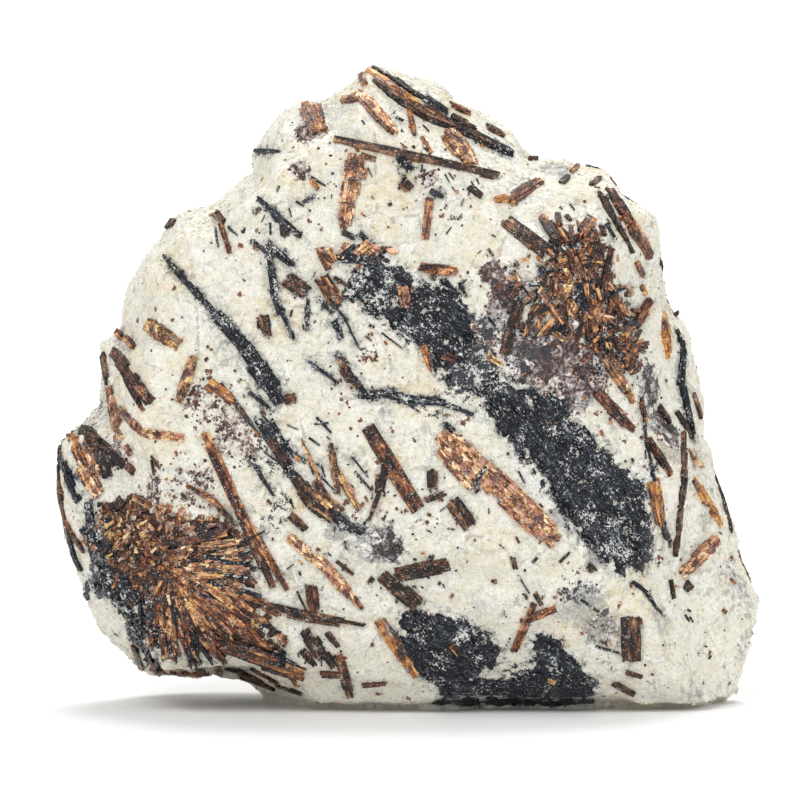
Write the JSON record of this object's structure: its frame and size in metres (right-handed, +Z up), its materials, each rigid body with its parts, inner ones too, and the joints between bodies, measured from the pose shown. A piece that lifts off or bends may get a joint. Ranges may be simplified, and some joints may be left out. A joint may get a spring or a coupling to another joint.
{
  "type": "astrophyllite specimen",
  "caption": "Broken hand specimen of sugary white feldspar with bronze, brown and black bladed crystals, some in radiating sprays, standing on a level underside.",
  "frame": {"origin": "middle of the flat underside, on the surface that the specimen stands on", "axes": "+Z up, +X along the width, the display face looks along -Y"},
  "size_m": [0.0894, 0.0416, 0.0814],
  "materials": {
    "feldspar": "matte",
    "black_mineral": "matte",
    "bronze": "satin",
    "gold": "satin",
    "dark_brown": "satin",
    "red_brown": "satin",
    "amber": "satin"
  },
  "bodies": {
    "root": {"matrix": "feldspar", "ridge_blades": "dark_brown", "top_orange_block": "amber", "peak_bronze_blade": "bronze", "bronze_plate_top": "bronze", "grey_brown_long_blade": "dark_brown", "tapered_bronze_blade": "bronze", "red_brown_blade_top": "red_brown", "brown_shoulder_blade": "red_brown", "right_edge_blades": "red_brown", "upper_right_dark_blade": "dark_brown", "right_spray": "red_brown", "dark_blade_right": "dark_brown", "brown_blade_mid_right": "red_brown", "amber_edge_blade": "amber", "black_right_strip": "black_mineral", "red_blade_right": "red_brown", "amber_brown_blade": "amber", "grey_brown_blade": "dark_brown", "amber_corner_blade": "amber", "bronze_plate_right": "bronze", "upper_black_mass": "black_mineral", "centre_black_blade": "black_mineral", "big_bronze_slab": "bronze", "striped_dark_blade": "dark_brown", "centre_crossing_blades": "red_brown", "centre_left_twin": "dark_brown", "brown_block_upper_left": "red_brown", "dark_blade_upper_left": "dark_brown", "black_branch": "black_mineral", "black_blade_upper_left": "black_mineral", "thin_black_arc": "black_mineral", "long_black_blade": "black_mineral", "golden_mosaic_left": "gold", "golden_blade_left": "gold", "brown_blade_left": "red_brown", "pink_ribbon_left": "bronze", "curved_ribbon_left": "red_brown", "amber_brown_blade_left": "amber", "diagonal_black_band": "black_mineral", "twin_dark_blades": "dark_brown", "amber_black_blade": "amber", "lower_black_lens": "black_mineral", "bottom_black_mass": "black_mineral", "brown_fork_bottom": "red_brown", "dark_block_bottom": "dark_brown", "left_long_twin": "red_brown", "pink_bronze_blade": "bronze", "dark_bar_lower": "dark_brown", "dark_cluster_lower": "dark_brown", "left_spray": "red_brown", "left_edge_blades": "dark_brown", "back_spray": "red_brown", "back_black_blade": "black_mineral", "back_bronze_slab": "bronze", "back_brown_blade": "red_brown", "left_side_blade": "red_brown", "right_side_blade": "dark_brown"}
  },
  "joints": []
}
